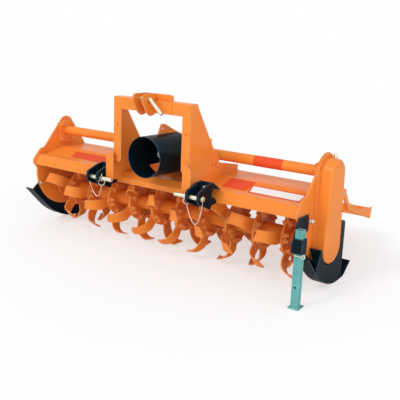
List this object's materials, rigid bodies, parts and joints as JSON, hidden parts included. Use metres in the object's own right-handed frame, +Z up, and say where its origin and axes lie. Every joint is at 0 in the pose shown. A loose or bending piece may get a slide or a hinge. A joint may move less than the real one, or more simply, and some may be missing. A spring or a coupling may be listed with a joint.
{
  "type": "mounted rotary tiller",
  "caption": "Three-point mounted rotary tiller with gearbox headstock, chain-driven bladed rotor, hood, tailboard, skids and parking stand.",
  "frame": {"origin": "centre of the front face of the power input stub", "axes": "+X towards the chain case end, +Y to the rear, +Z up from the floor the machine stands on, parked 5.5 degrees nose up"},
  "size_m": [1.98, 1.0965, 0.9504],
  "materials": {
    "orange_paint": "gloss",
    "black_paint": "satin",
    "zinc_plate": "satin",
    "galvanised": "satin",
    "bright_steel": "satin"
  },
  "bodies": {
    "frame": {"chain_case": "orange_paint", "chain_case_back": "orange_paint", "cross_tube_left": "orange_paint", "cross_tube_right": "orange_paint", "filler_plug": "zinc_plate", "front_rail": "orange_paint", "gearbox": "orange_paint", "headstock_cheek_left": "orange_paint", "headstock_cheek_right": "orange_paint", "headstock_portal": "orange_paint", "hinge_rod": "bright_steel", "hitch_clevis_left": "black_paint", "hitch_clevis_right": "black_paint", "hitch_pin_left": "zinc_plate", "hitch_pin_right": "zinc_plate", "hood": "orange_paint", "lifting_lug": "orange_paint", "rotor_bearing_left": "orange_paint", "rotor_bearing_right": "orange_paint", "shaft_guard": "black_paint", "side_plate_left": "orange_paint", "side_plate_right": "orange_paint", "skid_left": "black_paint", "skid_right": "black_paint", "skid_strap_left": "black_paint", "skid_strap_right": "black_paint", "stand_bracket": "black_paint", "toplink_back_plate": "orange_paint", "toplink_ear_left": "orange_paint", "toplink_ear_right": "orange_paint", "toplink_pin": "zinc_plate"},
    "rotor": {"rotor": "orange_paint"},
    "input_shaft": {"input_shaft": "bright_steel"},
    "tailboard": {"tailboard": "orange_paint", "tailboard_arm_left": "orange_paint", "tailboard_arm_right": "orange_paint"},
    "stand_leg": {"stand_leg": "galvanised"}
  },
  "joints": [
    {"name": "rotor_spin", "type": "hinge", "parent": "frame", "child": "rotor", "pos_m": [0, 0.21482, -0.37733], "axis": [1, 0, 0], "continuous": true},
    {"name": "input_spin", "type": "hinge", "parent": "frame", "child": "input_shaft", "pos_m": [0, 0.04977, -0.00479], "axis": [0, 0.9954, -0.0958], "continuous": true},
    {"name": "tailboard_hinge", "type": "hinge", "parent": "frame", "child": "tailboard", "pos_m": [0, 0.49138, -0.197], "axis": [1, 0, 0], "range_deg": [-35, 8]},
    {"name": "stand_slide", "type": "slide", "parent": "frame", "child": "stand_leg", "axis": [0, 0.0958, 0.9954], "range_m": [0, 0.24]}
  ],
  "couplings": [
    {"joint": "input_spin", "follows": "rotor_spin", "ratio": 2.5}
  ]
}
